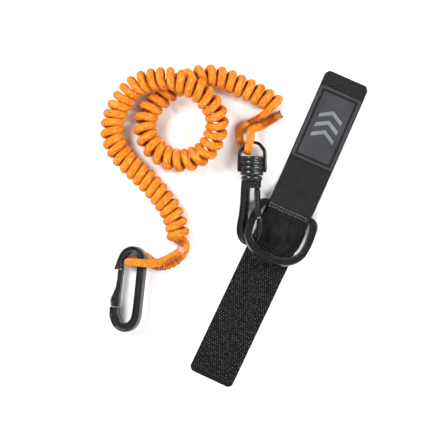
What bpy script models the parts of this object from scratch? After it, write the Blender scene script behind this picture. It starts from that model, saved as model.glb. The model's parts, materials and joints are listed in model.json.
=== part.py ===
"""Coiled tool leash: a hook-and-loop strap, a D ring, a swivel snap hook, a curly
elastic cord and a small snap clip, laid flat on a table.

Plan positions are in millimetres and are turned into metres by place(). +X is to
the right, +Y goes up the plan, +Z is up, and the table is at z = 0.
"""
import math

import bmesh
import bpy
from mathutils import Matrix, Vector

MM = 0.001
GAP = 0.3                      # air between two pieces that touch on the real leash

# Where the object's reference point (middle of the hard pieces' box) lies in the plan
PLAN_ORIGIN = (19.135, -10.793)

# Strap
STRAP_WIDTH = 36.0
TAPE = 2.0                     # thickness of one layer of hook or loop tape
UNDERLAY = 1.6                 # webbing under the ring
POCKET_HALF_WIDTH = 16.8       # the tape is drawn in where it wraps the ring's bar
PIVOT_PLAN = (57.9, 3.6)       # middle of the ring's straight bar
PIVOT_HEIGHT = 4.1
STRAP_TURN = -24.2             # how far the ring and the middle of the strap lean, degrees
UPPER_TURN = -23.7
LOWER_TURN = -25.3
UPPER_FOLD = 21.5              # distance from the bar to the upper fold line
LOWER_FOLD = 52.0              # and to the lower one
UPPER_SHIFT = 0.4              # how far each flap lies off the middle of the strap
LOWER_SHIFT = -1.0
UPPER_END = 112.5              # distance from the bar to the upper end of the strap
LOWER_END = 145.0

# Rubber patch
PATCH_WIDTH = 34.0
PATCH_LENGTH = 59.8
PATCH_THICK = 1.6
PATCH_END_MARGIN = 12.3
CHEVRON_RISE = 0.7

# Ring
RING_TILT = 20.2               # the bow is lifted on to the hook, degrees
RING_BAND = 6.6
RING_THICK = 4.0
BAR_RADIUS = 2.0

# Swivel snap hook
HOOK_PLAN = (27.9, 0.0)
HOOK_HEIGHT = 9.5
HOOK_TURN = -1.2
HOOK_ROLL = 33.0
HOOK_THICK = 6.6
COLLAR_LOW, COLLAR_HIGH = 26.8, 30.4
BARREL_LOW, BARREL_HIGH = 30.7, 45.6
COLLAR_RADIUS = 8.3
BARREL_RADIUS = 9.0
STEM_RADIUS = 3.6
HEAD_RADIUS = 5.4
BAIL_HALF_WIDTH = 9.75
BAIL_TOP = 56.3
BAIL_RADIUS = 1.9

# Small snap clip
CLIP_PLAN = (-65.5, -58.0)
CLIP_HEIGHT = 9.1
CLIP_TURN = -6.7
CLIP_ROLL = 20.0
CLIP_THICK = 7.2

# Gate pins and springs, both hooks
PIN_RADIUS = 1.1
PIN_CLEARANCE = 0.15
WIRE_RADIUS = 0.15             # of the springs
SPRING_TURNS = 1.25
SPRING_HEIGHTS = (1.35, 1.85)  # of the wire's middle, above the gate's knuckle
SPRING_TAIL = 1.4

# Cord
CORD_RADIUS = 3.1
COIL_RADIUS = 9.3

COLOURS = {
    "loop_tape": ((0.028, 0.028, 0.026), 0.95),
    "hook_tape": ((0.016, 0.016, 0.016), 0.7),
    "pile": ((0.022, 0.022, 0.022), 0.9),
    "webbing": ((0.02, 0.02, 0.02), 0.9),
    "rubber": ((0.05, 0.051, 0.062), 0.6),
    "emblem": ((0.11, 0.11, 0.12), 0.5),
    "black_plastic": ((0.018, 0.018, 0.019), 0.35),
    "steel": ((0.6, 0.6, 0.6), 0.3),
    "orange_cord": ((0.9, 0.3, 0.04), 0.8),
}


# ---------------------------------------------------------------- helpers

def clear_scene():
    for obj in list(bpy.data.objects):
        bpy.data.objects.remove(obj, do_unlink=True)


def material(name):
    found = bpy.data.materials.get(name)
    if found:
        return found
    colour, roughness = COLOURS[name]
    made = bpy.data.materials.new(name)
    made.use_nodes = True
    shader = made.node_tree.nodes["Principled BSDF"]
    shader.inputs["Base Color"].default_value = (*colour, 1.0)
    shader.inputs["Roughness"].default_value = roughness
    shader.inputs["Metallic"].default_value = 1.0 if name == "steel" else 0.0
    return made


def place(x, y, z):
    """A plan point in millimetres as a world point in metres."""
    return Vector((x - PLAN_ORIGIN[0], y - PLAN_ORIGIN[1], z)) * MM


def frame(name, plan, height, rotation_degrees):
    """An empty that carries the pieces of one assembly."""
    empty = bpy.data.objects.new(name, None)
    empty.empty_display_size = 0.01
    empty.location = place(plan[0], plan[1], height)
    empty.rotation_euler = [math.radians(a) for a in rotation_degrees]
    bpy.context.collection.objects.link(empty)
    return empty


def child_frame(name, parent, offset, rotation_degrees=(0, 0, 0)):
    empty = bpy.data.objects.new(name, None)
    empty.empty_display_size = 0.005
    empty.parent = parent
    empty.location = Vector(offset) * MM
    empty.rotation_euler = [math.radians(a) for a in rotation_degrees]
    bpy.context.collection.objects.link(empty)
    return empty


def finish(name, bm, look, parent, smooth_angle=35.0):
    """Turn a bmesh in millimetres into a named object in metres under its frame."""
    bmesh.ops.recalc_face_normals(bm, faces=bm.faces)
    bmesh.ops.scale(bm, vec=(MM, MM, MM), verts=bm.verts)
    mesh = bpy.data.meshes.new(name)
    bm.to_mesh(mesh)
    bm.free()
    mesh.shade_smooth()
    mesh.set_sharp_from_angle(angle=math.radians(smooth_angle))
    mesh.materials.append(material(look))
    obj = bpy.data.objects.new(name, mesh)
    obj.parent = parent
    bpy.context.collection.objects.link(obj)
    return obj


def cut_tool(obj):
    obj.hide_render = True
    obj.display_type = "WIRE"
    return obj


def combine(target, tool, operation):
    """Add an exact Boolean of target and a hidden tool object."""
    cut_tool(tool)
    modifier = target.modifiers.new(tool.name, "BOOLEAN")
    modifier.operation = operation
    modifier.solver = "EXACT"
    modifier.object = tool


def smooth_path(points, per_span, closed=False):
    """Points along a Catmull-Rom curve through the given ones."""
    pts = [Vector(p) for p in points]
    count = len(pts)
    spans = count if closed else count - 1
    path = []
    for i in range(spans):
        if closed:
            p0, p1, p2, p3 = (pts[(i + k) % count] for k in (-1, 0, 1, 2))
        else:
            p1, p2 = pts[i], pts[i + 1]
            p0 = pts[i - 1] if i else p1 * 2 - p2
            p3 = pts[i + 2] if i + 2 < count else p2 * 2 - p1
        for k in range(per_span):
            t = k / per_span
            path.append(0.5 * (2 * p1 + (p2 - p0) * t + (2 * p0 - 5 * p1 + 4 * p2 - p3) * t * t
                               + (3 * p1 - p0 - 3 * p2 + p3) * t ** 3))
    if not closed:
        path.append(pts[-1])
    return path


def between(values, t):
    """The value at fraction t along an evenly spaced list."""
    along = t * (len(values) - 1)
    i = min(int(along), len(values) - 2)
    return values[i] + (values[i + 1] - values[i]) * (along - i)


def loft(rings, closed=False):
    """One closed skin over a row of equal rings, capped unless it closes on itself."""
    bm = bmesh.new()
    loops = [[bm.verts.new(p) for p in ring] for ring in rings]
    sides = len(rings[0])
    last = len(loops) if closed else len(loops) - 1
    for i in range(last):
        a, b = loops[i], loops[(i + 1) % len(loops)]
        for k in range(sides):
            n = (k + 1) % sides
            bm.faces.new((a[k], a[n], b[n], b[k]))
    if not closed:
        bm.faces.new(loops[0])
        bm.faces.new(loops[-1])
    return bm


def flat_sweep(path, section, closed=False):
    """Sweep section(i) -> [(across, up), ...] along a path in the local XY plane."""
    rings = []
    count = len(path)
    for i, p in enumerate(path):
        before = path[i - 1] if closed or i else p
        after = path[(i + 1) % count] if closed or i + 1 < count else p
        tangent = (after - before).normalized()
        across = Vector((-tangent.y, tangent.x, 0.0))
        rings.append([p + across * a + Vector((0, 0, b)) for a, b in section(i / count)])
    return loft(rings, closed)


def rounded_section(half_across, half_up, power, sides):
    """A superellipse: power 2 is an ellipse, 5 a rectangle with round corners."""
    points = []
    for k in range(sides):
        angle = 2 * math.pi * (k + 0.5) / sides
        c, s = math.cos(angle), math.sin(angle)
        points.append((half_across * math.copysign(abs(c) ** (2 / power), c),
                       half_up * math.copysign(abs(s) ** (2 / power), s)))
    return points


def channel_section(half_across, half_up, groove):
    """A moulded limb: a rectangle with eased corners and a shallow groove on both faces."""
    a, b, e = half_across, half_up, 0.9
    top = [(a, b - e), (a - 0.3 * e, b - 0.3 * e), (a - e, b),
           (a * 0.42, b), (a * 0.30, b - groove), (-a * 0.30, b - groove), (-a * 0.42, b),
           (-a + e, b), (-a + 0.3 * e, b - 0.3 * e), (-a, b - e)]
    return top + [(-x, -y) for x, y in top]


def cylinder(radius, low, high, axis, centre, sides=20):
    """A cylinder along local x, y or z between two heights."""
    bm = bmesh.new()
    bmesh.ops.create_cone(bm, cap_ends=True, segments=sides, radius1=radius, radius2=radius,
                          depth=high - low)
    turn = {"z": Matrix.Identity(3), "y": Matrix.Rotation(math.radians(-90), 3, "X"),
            "x": Matrix.Rotation(math.radians(90), 3, "Y")}[axis]
    middle = Vector(centre)
    middle["xyz".index(axis)] = (low + high) / 2
    bmesh.ops.rotate(bm, matrix=turn, verts=bm.verts)
    bmesh.ops.translate(bm, vec=middle, verts=bm.verts)
    return bm


def box(low, high):
    bm = bmesh.new()
    bmesh.ops.create_cube(bm, size=1.0)
    size = [h - l for l, h in zip(low, high)]
    bmesh.ops.scale(bm, vec=size, verts=bm.verts)
    bmesh.ops.translate(bm, vec=[(l + h) / 2 for l, h in zip(low, high)], verts=bm.verts)
    return bm


def tape(name, outline, half_width, look, parent):
    """A length of tape: an outline in the plane of strap length and height, extruded across."""
    rings = [[Vector((side, y, z)) for y, z in outline] for side in (-half_width, half_width)]
    return finish(name, loft(rings), look, parent)


def cord_tube(name, points, radius, per_span, look="orange_cord"):
    """A curve object with filled caps, following a smooth curve through plan points."""
    path = smooth_path(points, per_span)
    curve = bpy.data.curves.new(name, "CURVE")
    curve.dimensions = "3D"
    curve.bevel_depth = radius * MM
    curve.bevel_resolution = 3
    curve.use_fill_caps = True
    spline = curve.splines.new("POLY")
    spline.points.add(len(path) - 1)
    for point, p in zip(spline.points, path):
        point.co = (*place(*p), 1.0)
    curve.materials.append(material(look))
    obj = bpy.data.objects.new(name, curve)
    bpy.context.collection.objects.link(obj)
    return obj


# ---------------------------------------------------------------- strap

def hinge_end(y, direction):
    """Half-round end of a tape about a fold axis at half its thickness."""
    r = TAPE / 2
    steps = 6
    return [(y - direction * r * math.sin(math.pi * k / steps), r - r * math.cos(math.pi * k / steps))
            for k in range(steps + 1)]


def build_strap():
    core = frame("strap_frame", PIVOT_PLAN, 0.0, (0, 0, STRAP_TURN))
    upper = child_frame("upper_fold_frame", core, (UPPER_SHIFT, UPPER_FOLD, 0),
                        (0, 0, UPPER_TURN - STRAP_TURN))
    lower = child_frame("lower_fold_frame", core, (LOWER_SHIFT, -LOWER_FOLD, 0),
                        (0, 0, LOWER_TURN - STRAP_TURN))
    half = STRAP_WIDTH / 2
    # the flaps are turned a little in the plane, so their square ends need a wider gap
    upper_gap = TAPE / 2 + GAP + half * math.sin(math.radians(abs(UPPER_TURN - STRAP_TURN)))
    lower_gap = TAPE / 2 + GAP + half * math.sin(math.radians(abs(LOWER_TURN - STRAP_TURN)))

    tape("strap_underlay", [(7.0, 0), (7.0, UNDERLAY), (-32.0, UNDERLAY), (-32.0, 0)],
         half, "webbing", core)

    top = PIVOT_HEIGHT + BAR_RADIUS + GAP
    rise = [(UPPER_FOLD - upper_gap, 0.0), (13.0, 0.2), (8.2, 3.2), (4.6, 6.2), (0.0, top),
            (-3.2, 5.6), (-4.6, UNDERLAY + GAP), (-9.0, UNDERLAY + GAP)]
    over = [(y, z + TAPE) for y, z in rise]
    over[2:7] = [(9.0, 5.0), (5.4, 8.2), (0.0, top + TAPE), (-4.6, 7.0), (-6.2, UNDERLAY + GAP + TAPE)]
    tape("pocket_tape", rise + over[::-1], POCKET_HALF_WIDTH, "loop_tape", core)

    pad = [(-10.0, 0.0), (-10.4, 1.6), (-14.0, 2.6), (-20.0, 3.0), (-26.0, 2.4), (-30.6, 1.4), (-31.0, 0.0)]
    base = UNDERLAY + GAP
    tape("pile_pad", [(y, base + z) for y, z in pad], half - 1.0, "pile", core)

    edge = -LOWER_FOLD + lower_gap
    tape("hook_tape_middle", [(-32.3, 0), (-32.3, TAPE), (edge, TAPE), (edge, 0)],
         half, "hook_tape", core)

    end = UPPER_END - UPPER_FOLD
    tape("loop_tape_flap", hinge_end(0.0, 1) + [(end, TAPE), (end, 0)], half, "loop_tape", upper)

    end = LOWER_END - LOWER_FOLD
    tape("hook_tape_flap", hinge_end(0.0, -1) + [(-end, TAPE), (-end, 0)], half, "hook_tape", lower)
    build_patch(upper)
    return core


def build_patch(upper):
    top = UPPER_END - UPPER_FOLD - PATCH_END_MARGIN
    bottom = top - PATCH_LENGTH
    base = TAPE + GAP
    half = PATCH_WIDTH / 2
    border = 2.6
    patch = finish("patch", box((-half, bottom, base), (half, top, base + PATCH_THICK)), "rubber", upper)
    recess = finish("patch_recess_tool",
                    box((-half + border, bottom + border, base + PATCH_THICK - 0.5),
                        (half - border, top - border, base + PATCH_THICK + 1.0)), "rubber", upper)
    combine(patch, recess, "DIFFERENCE")

    middle = (top + bottom) / 2
    floor = base + PATCH_THICK - 0.5 + GAP
    arm, rise, stroke = 9.5, 5.5, 3.4
    for number, offset in enumerate((-8.0, 0.0, 8.0), start=1):
        y = middle + offset - rise / 2
        outline = [(-arm, y), (0.0, y + rise), (arm, y), (arm, y + stroke), (0.0, y + rise + stroke),
                   (-arm, y + stroke)]
        rings = [[Vector((px, py, z)) for px, py in outline] for z in (floor, floor + CHEVRON_RISE)]
        finish(f"patch_chevron_{number}", loft(rings), "emblem", upper)


# ---------------------------------------------------------------- ring

def build_ring():
    parent = frame("ring_frame", PIVOT_PLAN, PIVOT_HEIGHT, (-RING_TILT, 0, STRAP_TURN))
    right = [(0.0, 0.0), (10.0, 0.0), (17.8, -0.3), (22.2, -4.4), (23.4, -12.4), (23.6, -22.8),
             (21.6, -32.2), (15.0, -39.4), (6.0, -42.5)]
    left = [(-x, y) for x, y in right[:0:-1]]
    outline = [(x, y, 0.0) for x, y in right + left]
    path = smooth_path(outline, 4, closed=True)

    def section(t):
        # 0 on the straight bar, 1 on the bow
        along = abs(((t + 0.5) % 1.0) - 0.5) * 2
        blend = min(1.0, max(0.0, (along - 0.22) / 0.14))
        across = BAR_RADIUS + (RING_BAND / 2 - BAR_RADIUS) * blend
        return rounded_section(across, RING_THICK / 2, 2.0 + 2.2 * blend, 14)

    finish("ring", flat_sweep(path, section, closed=True), "black_plastic", parent)
    return parent


# ---------------------------------------------------------------- gates, shared by both hooks

def build_gate(name, parent, pivot, path, widths, thicks, knuckle_radius, knuckle_half):
    """A gate with a knuckle round its pin; its arm follows the path."""
    smooth = smooth_path(path, 4)

    def section(t):
        return rounded_section(between(widths, t) / 2, between(thicks, t) / 2, 3.5, 12)

    gate = finish(name, flat_sweep(smooth, section), "black_plastic", parent)
    knuckle = finish(name + "_knuckle_tool",
                     cylinder(knuckle_radius, -knuckle_half, knuckle_half, "z", (*pivot, 0)),
                     "black_plastic", parent)
    combine(gate, knuckle, "UNION")
    bore = finish(name + "_bore_tool",
                  cylinder(PIN_RADIUS + PIN_CLEARANCE, -20, 20, "z", (*pivot, 0), 16),
                  "black_plastic", parent)
    combine(gate, bore, "DIFFERENCE")
    return gate


def build_pin(name, parent, pivot, half_length):
    pin = cylinder(PIN_RADIUS, -half_length, half_length, "z", (*pivot, 0), 16)
    return finish(name, pin, "steel", parent)


def build_spring(name, parent, pivot):
    """A torsion spring of round wire about the pin, with a tail along the gate."""
    low, high = SPRING_HEIGHTS
    radius = PIN_RADIUS + PIN_CLEARANCE + WIRE_RADIUS + 0.2
    steps = 24
    path = []
    for k in range(steps + 1):
        # the turns end on the left, where the wire already runs down towards the gate
        angle = math.pi - 2 * math.pi * SPRING_TURNS * (1 - k / steps)
        z = low + (high - low) * k / steps
        path.append(Vector((pivot[0] + radius * math.cos(angle), pivot[1] + radius * math.sin(angle), z)))
    path.append(path[-1] + Vector((0.0, -SPRING_TAIL, 0.0)))
    rings = []
    for i, p in enumerate(path):
        tangent = (path[min(i + 1, len(path) - 1)] - path[max(i - 1, 0)]).normalized()
        side = tangent.cross(Vector((0, 0, 1))).normalized()
        up = side.cross(tangent)
        rings.append([p + WIRE_RADIUS * (side * math.cos(a) + up * math.sin(a))
                      for a in (math.radians(60 * k) for k in range(6))])
    return finish(name, loft(rings), "steel", parent)


# ---------------------------------------------------------------- swivel snap hook

def build_hook():
    parent = frame("hook_frame", HOOK_PLAN, HOOK_HEIGHT, (0, -HOOK_ROLL, HOOK_TURN))
    path = [(-5.0, 26.5), (-5.6, 18.0), (-5.9, 8.0), (-6.9, -1.0), (-8.3, -9.0), (-7.9, -15.0),
            (-4.6, -19.6), (0.4, -20.8), (5.2, -18.6), (8.1, -13.2), (8.8, -7.0), (8.6, -2.2)]
    widths = [5.2, 5.2, 5.2, 5.4, 5.6, 5.8, 5.8, 5.6, 5.2, 4.8, 4.6, 4.2]
    smooth = smooth_path([(x, y, 0.0) for x, y in path], 3)

    def section(t):
        thick = HOOK_THICK * between((1.0, 1.0, 1.0, 0.95, 0.86, 0.8, 0.78, 0.8), t)
        return channel_section(between(widths, t) / 2, thick / 2, 0.8)

    body = finish("hook_body", flat_sweep(smooth, section), "black_plastic", parent)

    head_block = finish("hook_block_tool", flat_sweep(
        [Vector((0, 20.9, 0)), Vector((0, 22.4, 0)), Vector((0, COLLAR_LOW + 0.4, 0))],
        lambda t: rounded_section(7.6, HOOK_THICK / 2, 4.0, 16)), "black_plastic", parent)
    combine(body, head_block, "UNION")
    turned = [(COLLAR_RADIUS - 0.8, COLLAR_LOW), (COLLAR_RADIUS, COLLAR_LOW + 0.8),
              (COLLAR_RADIUS, COLLAR_HIGH - 0.6), (COLLAR_RADIUS - 0.6, COLLAR_HIGH),
              (STEM_RADIUS, COLLAR_HIGH), (STEM_RADIUS, BARREL_HIGH - 4.2),
              (HEAD_RADIUS, BARREL_HIGH - 3.4), (HEAD_RADIUS, BARREL_HIGH - 1.4),
              (HEAD_RADIUS - 1.2, BARREL_HIGH - 0.4)]
    stem = finish("hook_stem_tool", turn_about_y(turned, 24), "black_plastic", parent)
    combine(body, stem, "UNION")

    pivot = (4.9, 23.4)
    slot = finish("hook_slot_tool", box((1.6, 19.0, -2.3), (9.5, 26.3, 2.3)), "black_plastic", parent)
    combine(body, slot, "DIFFERENCE")
    bore = finish("hook_bore_tool", cylinder(PIN_RADIUS + PIN_CLEARANCE, -20, 20, "z", (*pivot, 0), 16),
                  "black_plastic", parent)
    combine(body, bore, "DIFFERENCE")

    gate_path = [(4.9, 23.4, 0), (4.9, 20.8, 0), (5.0, 18.0, 0.2), (5.3, 12.0, 0.5), (5.9, 6.6, 0.9),
                 (6.9, 2.4, 1.1), (8.0, -1.2, 1.1)]
    build_gate("hook_gate", parent, pivot, gate_path, [3.4, 3.4, 3.2, 3.1, 3.1, 3.4, 3.8],
               [1.8, 1.8, 3.6, 3.4, 3.0, 2.8, 2.8], 2.3, 0.9)
    build_pin("hook_gate_pin", parent, pivot, HOOK_THICK / 2 - 0.2)
    build_spring("hook_gate_spring", parent, pivot)
    return parent


def turn_about_y(profile, sides):
    """Turn (radius, y) points about the local Y axis into one capped body."""
    rings = []
    for radius, y in profile:
        rings.append([Vector((radius * math.cos(2 * math.pi * k / sides), y,
                              radius * math.sin(2 * math.pi * k / sides))) for k in range(sides)])
    return loft(rings)


def build_swivel_eye():
    """Ribbed barrel that turns on the hook's stem, with the bail that holds the cord."""
    parent = frame("swivel_frame", HOOK_PLAN, HOOK_HEIGHT, (0, 0, HOOK_TURN))
    r, rib = BARREL_RADIUS, 0.55
    profile = [(r - 0.7, BARREL_LOW), (r, BARREL_LOW + 0.6)]
    for y in (34.6, 38.4, 42.2):
        profile += [(r, y - 0.5), (r - rib, y - 0.2), (r - rib, y + 0.2), (r, y + 0.5)]
    profile += [(r, BARREL_HIGH - 0.6), (r - 0.6, BARREL_HIGH)]
    eye = finish("swivel_eye", turn_about_y(profile, 32), "black_plastic", parent)

    half, top = BAIL_HALF_WIDTH, BAIL_TOP
    side = [(half - 0.6, 33.6), (half, 36.0), (half, 42.0), (half, 46.5), (half - 0.5, 50.0),
            (half - 2.6, 53.2), (half - 5.4, top - 0.7)]
    outline = side + [(0.0, top)] + [(-x, y) for x, y in side[::-1]]
    path = smooth_path([(x, y, 0.0) for x, y in outline], 3)
    bail = finish("bail_tool", flat_sweep(path, lambda t: rounded_section(BAIL_RADIUS, BAIL_RADIUS, 2.4, 12)),
                  "black_plastic", parent)
    combine(eye, bail, "UNION")
    bore = [(STEM_RADIUS + GAP, BARREL_LOW - 1), (STEM_RADIUS + GAP, BARREL_HIGH - 4.7),
            (HEAD_RADIUS + GAP, BARREL_HIGH - 3.9), (HEAD_RADIUS + GAP, BARREL_HIGH + 1)]
    combine(eye, finish("swivel_bore_tool", turn_about_y(bore, 24), "black_plastic", parent), "DIFFERENCE")
    return parent


# ---------------------------------------------------------------- small snap clip

def build_clip():
    parent = frame("clip_frame", CLIP_PLAN, CLIP_HEIGHT, (0, -CLIP_ROLL, CLIP_TURN))
    path = [(-9.9, 19.4), (-9.4, 24.0), (-6.6, 28.8), (-1.6, 31.2), (3.4, 30.2), (6.6, 26.0),
            (7.2, 19.0), (7.4, 8.0), (7.6, -6.0), (7.4, -20.0), (4.8, -26.6), (-0.6, -29.4),
            (-6.6, -27.4), (-10.2, -21.8), (-11.0, -15.2)]
    widths = [5.0, 4.8, 5.0, 5.4, 5.8, 6.0, 5.8, 5.8, 5.8, 6.0, 6.6, 7.2, 7.2, 6.8, 6.4]
    smooth = smooth_path([(x, y, 0.0) for x, y in path], 3)

    def section(t):
        return channel_section(between(widths, t) / 2, CLIP_THICK / 2, 0.7)

    body = finish("clip_body", flat_sweep(smooth, section), "black_plastic", parent)
    pivot = (-9.9, 20.6)
    slot = finish("clip_slot_tool", box((-13.5, 16.0, -2.2), (-6.6, 23.6, 2.2)), "black_plastic", parent)
    combine(body, slot, "DIFFERENCE")
    barb = finish("clip_barb_tool", box((-13.2, 17.4, -3.4), (-11.4, 21.0, -2.4)), "black_plastic", parent)
    combine(body, barb, "UNION")
    bore = finish("clip_bore_tool", cylinder(PIN_RADIUS + PIN_CLEARANCE, -20, 20, "z", (*pivot, 0), 16),
                  "black_plastic", parent)
    combine(body, bore, "DIFFERENCE")

    gate_path = [(-9.9, 20.6, 0), (-9.8, 17.8, 0), (-9.7, 14.6, 0), (-9.7, 8.0, 0), (-9.9, 1.0, 0),
                 (-10.7, -4.6, 0), (-11.4, -9.4, 0), (-11.0, -14.5, 0)]
    build_gate("clip_gate", parent, pivot, gate_path, [4.0, 3.8, 3.4, 3.4, 3.6, 5.2, 7.0, 4.6],
               [1.8, 1.8, 4.4, 4.4, 4.4, 4.4, 4.4, 4.4], 2.4, 0.9)
    build_pin("clip_gate_pin", parent, pivot, CLIP_THICK / 2 - 0.2)
    build_spring("clip_gate_spring", parent, pivot)
    return parent


# ---------------------------------------------------------------- cord

# Middle line of the coil, from the strap's end to the clip's end
COIL_ROUTE = [
    (46.4, 85.6, 9.4), (34.1, 93.1, 9.4), (21.0, 99.3, 9.4), (7.0, 105.5, 9.4), (-8.5, 107.9, 9.4),
    (-25.6, 102.4, 9.4), (-40.4, 92.3, 9.4), (-52.0, 79.2, 9.4), (-54.3, 66.0, 9.4),
    (-48.0, 52.6, 9.6), (-35.0, 43.8, 10.4), (-21.0, 42.7, 12.4), (-7.5, 49.3, 16.0),
    (0.4, 63.0, 20.4), (0.8, 77.0, 24.6), (-6.6, 89.6, 27.8), (-17.6, 98.4, 28.6),
    (-32.0, 104.4, 26.6), (-47.0, 104.4, 21.8), (-60.6, 100.2, 16.0), (-71.6, 88.8, 11.6),
    (-78.4, 75.3, 9.6), (-79.6, 61.0, 9.4), (-73.6, 47.6, 9.4), (-63.0, 36.6, 9.4),
    (-51.0, 24.8, 9.4), (-40.6, 12.6, 9.4), (-33.2, 1.0, 9.4), (-29.6, -9.6, 9.4), (-28.4, -18.6, 9.4),
]

# Sewn lap and eye at the swivel hook's bail
UPPER_LIVE = [(18.9, 63.2, 5.2), (19.0, 65.4, 5.2), (22.2, 68.6, 5.2), (27.4, 71.4, 4.6),
              (32.6, 74.5, 3.8), (35.8, 76.3, 3.6)]
UPPER_TAIL = [(27.7, 63.3, 14.0), (27.8, 65.3, 13.6), (31.2, 67.3, 8.4), (36.2, 69.2, 4.4),
              (42.8, 73.0, 3.5), (50.6, 78.0, 3.5)]
UPPER_EYE = [(18.9, 62.2, 5.2), (18.9, 60.2, 5.0), (20.4, 55.4, 3.6), (23.4, 51.2, 3.8),
             (25.5, 49.6, 9.0), (25.7, 50.8, 13.8), (26.4, 55.0, 15.4), (27.6, 59.4, 14.2),
             (27.7, 62.0, 14.0)]

# Sewn lap and eye at the clip: in along the table, under the spine, back over it
LOWER_EYE = [(-23.0, -22.8, 6.4), (-23.5, -27.4, 4.2), (-27.6, -33.6, 3.4), (-34.6, -38.0, 3.3),
             (-42.4, -39.8, 3.3), (-48.4, -37.8, 3.3), (-51.6, -33.4, 3.3), (-55.8, -32.0, 3.3),
             (-61.0, -35.2, 3.3), (-65.4, -36.4, 5.2), (-67.4, -36.4, 11.6), (-65.2, -36.4, 17.4),
             (-60.4, -36.8, 20.0), (-54.6, -37.2, 19.8), (-48.6, -37.6, 15.8), (-43.6, -36.8, 10.6),
             (-36.8, -34.0, 9.0), (-30.6, -29.6, 9.0), (-27.4, -26.0, 9.0)]


def build_cord():
    cord_tube("cord_coil", COIL_ROUTE, COIL_RADIUS, 2)
    cord_tube("cord_upper_lap", UPPER_LIVE, CORD_RADIUS, 3)
    cord_tube("cord_upper_tail", UPPER_TAIL, CORD_RADIUS, 3)
    cord_tube("cord_upper_eye", UPPER_EYE, CORD_RADIUS, 3)
    cord_tube("cord_lower_eye", LOWER_EYE, CORD_RADIUS, 3)


def main():
    clear_scene()
    build_strap()
    build_ring()
    build_hook()
    build_swivel_eye()
    build_clip()
    build_cord()


main()
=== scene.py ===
"""Looks of the coiled leash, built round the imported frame.

Shapes are worked out in millimetres, in the plan or in a local frame of one assembly,
and add_mesh() turns them into metres. The table is at z = 0.
"""
import json
import math
import random

import bmesh
import bpy
import numpy as np
from mathutils import Euler, Matrix, Vector


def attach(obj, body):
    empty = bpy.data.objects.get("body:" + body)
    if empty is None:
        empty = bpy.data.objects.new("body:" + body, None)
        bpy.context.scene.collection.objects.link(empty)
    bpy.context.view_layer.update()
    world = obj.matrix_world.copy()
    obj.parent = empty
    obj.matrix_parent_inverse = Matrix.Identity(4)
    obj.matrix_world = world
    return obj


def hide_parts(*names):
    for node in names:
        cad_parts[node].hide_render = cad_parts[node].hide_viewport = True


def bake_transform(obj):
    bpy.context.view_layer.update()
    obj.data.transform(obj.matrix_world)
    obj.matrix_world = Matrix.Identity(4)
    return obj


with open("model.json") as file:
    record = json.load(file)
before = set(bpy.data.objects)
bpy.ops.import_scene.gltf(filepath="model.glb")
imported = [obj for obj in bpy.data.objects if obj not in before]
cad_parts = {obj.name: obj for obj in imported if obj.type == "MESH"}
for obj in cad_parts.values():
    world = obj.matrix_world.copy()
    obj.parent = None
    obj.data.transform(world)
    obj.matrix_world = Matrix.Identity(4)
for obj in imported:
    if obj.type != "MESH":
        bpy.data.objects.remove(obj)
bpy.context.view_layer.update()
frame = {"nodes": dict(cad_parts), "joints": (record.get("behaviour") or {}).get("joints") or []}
JOINTS = {joint["name"]: joint for joint in frame["joints"]}
MM = 0.001

# ---------------------------------------------------------------- places

PIVOT_PLAN = (57.9, 3.6, 4.1)          # middle of the ring's bar, where strap_swing turns
PIVOT = Vector(JOINTS["strap_swing"]["pos_m"]) / MM


def plan(x, y, z):
    """A plan point as a point in the row frame, both in millimetres."""
    return PIVOT + Vector((x, y, z)) - Vector(PIVOT_PLAN)


def local_frame(point, degrees):
    turn = Euler([math.radians(a) for a in degrees]).to_matrix().to_4x4()
    return Matrix.Translation(plan(*point)) @ turn


STRAP = local_frame((57.9, 3.6, 0), (0, 0, -24.2))
UPPER_FOLD, LOWER_FOLD = 21.5, 52.0      # how far above and below the bar the strap folds


def flap_frame(shift, fold, degrees):
    """A flap's own frame, with its fold at y = 0, shifted sideways and turned a little."""
    return STRAP @ Matrix.Translation((shift, fold, 0)) @ Matrix.Rotation(math.radians(degrees), 4, "Z")


UPPER_FLAP = flap_frame(0.4, UPPER_FOLD, 0.5)
LOWER_FLAP = flap_frame(-1.0, -LOWER_FOLD, -1.1)
RING = local_frame(PIVOT_PLAN, (-20.2, 0, -24.2))
HOOK = local_frame((27.9, 0, 9.5), (0, -33, -1.2))
SWIVEL = local_frame((27.9, 0, 9.5), (0, 0, -1.2))
CLIP = local_frame((-65.5, -58, 9.1), (0, -20, -6.7))


# ---------------------------------------------------------------- camera, light, floor

def make_camera():
    """Straight above the middle of the plan, far enough away to flatten the perspective."""
    view_width, lens, sensor, focus_height = 0.3337, 200.0, 36.0, 0.008
    data = bpy.data.cameras.new("camera")
    data.lens = lens
    data.sensor_width = sensor
    camera = bpy.data.objects.new("camera", data)
    middle = plan(0, 0, 0) * MM
    camera.location = (middle.x, middle.y, focus_height + view_width * lens / sensor)
    bpy.context.scene.collection.objects.link(camera)
    bpy.context.scene.camera = camera


def make_light(name, location, size, power):
    data = bpy.data.lights.new(name, "AREA")
    data.shape = "RECTANGLE"
    data.size, data.size_y = size
    data.energy = power
    light = bpy.data.objects.new(name, data)
    light.location = location
    light.rotation_euler = (-Vector(location)).to_track_quat("-Z", "Y").to_euler()
    bpy.context.scene.collection.objects.link(light)


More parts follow.
